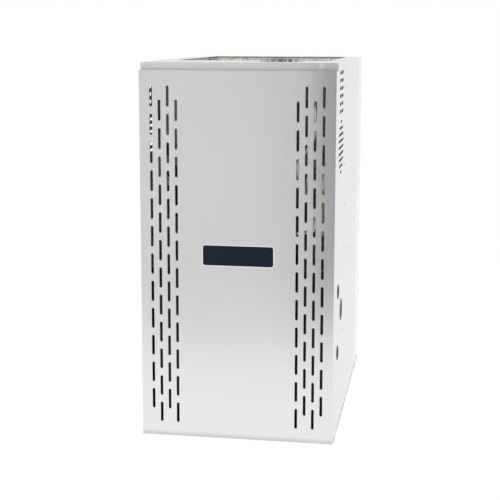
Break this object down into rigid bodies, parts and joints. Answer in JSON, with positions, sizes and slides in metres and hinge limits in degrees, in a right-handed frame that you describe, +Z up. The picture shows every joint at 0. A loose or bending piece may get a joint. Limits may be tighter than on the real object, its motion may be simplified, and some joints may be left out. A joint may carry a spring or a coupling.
{
  "type": "forced air gas furnace",
  "caption": "Upright sheet-metal gas furnace: tall slotted front door, burners and draft inducer above a blower, tube heat exchanger, open air outlet on top.",
  "frame": {"origin": "centre of the footprint, doors included, on the floor under the casing", "axes": "+Z up, the doors face -Y, +X is the side with the cable holes and the round louvre"},
  "size_m": [0.4486, 0.7552, 0.8686],
  "materials": {
    "casing_paint": "satin light grey enamel",
    "door_paint": "satin light grey enamel",
    "badge_blue": "dark blue with a pale border",
    "zinc_sheet": "galvanised sheet",
    "dark_sheet": "dark grey inner door",
    "tube_steel": "aluminised tube",
    "screw_zinc": "zinc plated",
    "black_rubber": "matt",
    "black_plastic": "moulded",
    "white_plastic": "moulded",
    "red_plastic": "moulded",
    "clear_plastic": "clear",
    "foil_blanket": "foil faced fibre blanket",
    "motor_enamel": "black enamel",
    "cast_alloy": "die cast",
    "brass": "turned",
    "iron_pipe": "black pipe",
    "ceramic": "glazed ceramic",
    "board_green": "lacquered board",
    "yellow_wire": "insulated wire",
    "clear_hose": "soft tube"
  },
  "bodies": {
    "cabinet": {"left_side_panel": "casing_paint", "right_side_panel": "casing_paint", "back_panel": "casing_paint", "base_pan": "zinc_sheet", "top_plate": "casing_paint", "vestibule_panel": "zinc_sheet", "blower_deck": "zinc_sheet", "casing_screws": "screw_zinc", "side_bushings": "black_plastic", "hole_plug": "black_plastic", "door_studs": "screw_zinc", "side_insulation": "foil_blanket", "back_insulation": "foil_blanket", "exchanger_tube_1": "tube_steel", "exchanger_tube_2": "tube_steel", "exchanger_tube_3": "tube_steel", "exchanger_tube_4": "tube_steel", "tube_baffle": "zinc_sheet", "collector_box": "zinc_sheet", "inducer_gasket": "black_rubber", "inducer_housing": "motor_enamel", "inducer_motor": "motor_enamel", "vent_collar": "zinc_sheet", "burner_box": "zinc_sheet", "burners": "zinc_sheet", "gas_manifold": "iron_pipe", "gas_orifices": "brass", "gas_valve": "cast_alloy", "igniter": "ceramic", "flame_sensor": "ceramic", "disc_thermostats": "cast_alloy", "pressure_switch": "black_plastic", "pressure_hose": "clear_hose", "blower_wrap": "zinc_sheet", "blower_cheeks": "zinc_sheet", "blower_motor": "motor_enamel", "motor_mount": "zinc_sheet", "blower_rails": "zinc_sheet", "run_capacitor": "cast_alloy", "control_board": "board_green", "transformer": "motor_enamel", "junction_box": "zinc_sheet", "door_switch": "black_plastic", "wire_harness": "yellow_wire"},
    "outer_door": {"front_door": "door_paint", "badge_plate": "badge_blue", "door_clips": "white_plastic"},
    "inner_door": {"blower_door": "dark_sheet", "blower_door_gasket": "black_rubber", "sight_glass": "clear_plastic"},
    "left_knob": {"door_knob_left": "black_plastic"},
    "right_knob": {"door_knob_right": "black_plastic"},
    "inducer_rotor": {"inducer_wheel": "zinc_sheet", "inducer_shaft": "screw_zinc"},
    "blower_rotor": {"blower_wheel": "zinc_sheet", "blower_shaft": "screw_zinc"},
    "valve_knob": {"gas_valve_knob": "black_plastic"},
    "left_reset": {"reset_button_left": "red_plastic"},
    "right_reset": {"reset_button_right": "red_plastic"},
    "plunger": {"switch_plunger": "white_plastic"}
  },
  "joints": [
    {"name": "outer_door_pull", "type": "slide", "parent": "cabinet", "child": "outer_door", "axis": [0, -1, 0], "range_m": [0, 0.32]},
    {"name": "inner_door_pull", "type": "slide", "parent": "cabinet", "child": "inner_door", "axis": [0, -1, 0], "range_m": [0, 0.16]},
    {"name": "left_knob_turn", "type": "hinge", "parent": "inner_door", "child": "left_knob", "pos_m": [-0.18365, -0.3304, 0.35], "axis": [0, -1, 0], "range_deg": [0, 90]},
    {"name": "right_knob_turn", "type": "hinge", "parent": "inner_door", "child": "right_knob", "pos_m": [0.18365, -0.3304, 0.35], "axis": [0, 1, 0], "range_deg": [0, 90]},
    {"name": "inducer_spin", "type": "hinge", "parent": "cabinet", "child": "inducer_rotor", "pos_m": [0.034, -0.2304, 0.724], "axis": [0, 1, 0], "continuous": true},
    {"name": "blower_spin", "type": "hinge", "parent": "cabinet", "child": "blower_rotor", "pos_m": [0, 0.0756, 0.208], "axis": [1, 0, 0], "continuous": true},
    {"name": "valve_knob_turn", "type": "hinge", "parent": "cabinet", "child": "valve_knob", "pos_m": [-0.152, -0.3434, 0.617], "axis": [0, 1, 0], "range_deg": [0, 90]},
    {"name": "left_reset_press", "type": "slide", "parent": "cabinet", "child": "left_reset", "axis": [0, 0, -1], "range_m": [0, 0.0015], "stiffness_N_per_m": 300},
    {"name": "right_reset_press", "type": "slide", "parent": "cabinet", "child": "right_reset", "axis": [0, 0, -1], "range_m": [0, 0.0015], "stiffness_N_per_m": 300},
    {"name": "plunger_press", "type": "slide", "parent": "cabinet", "child": "plunger", "axis": [0, 1, 0], "range_m": [0, 0.004], "stiffness_N_per_m": 300}
  ],
  "couplings": [
    {"joint": "inner_door_pull", "follows": "outer_door_pull", "ratio": 0.5}
  ]
}
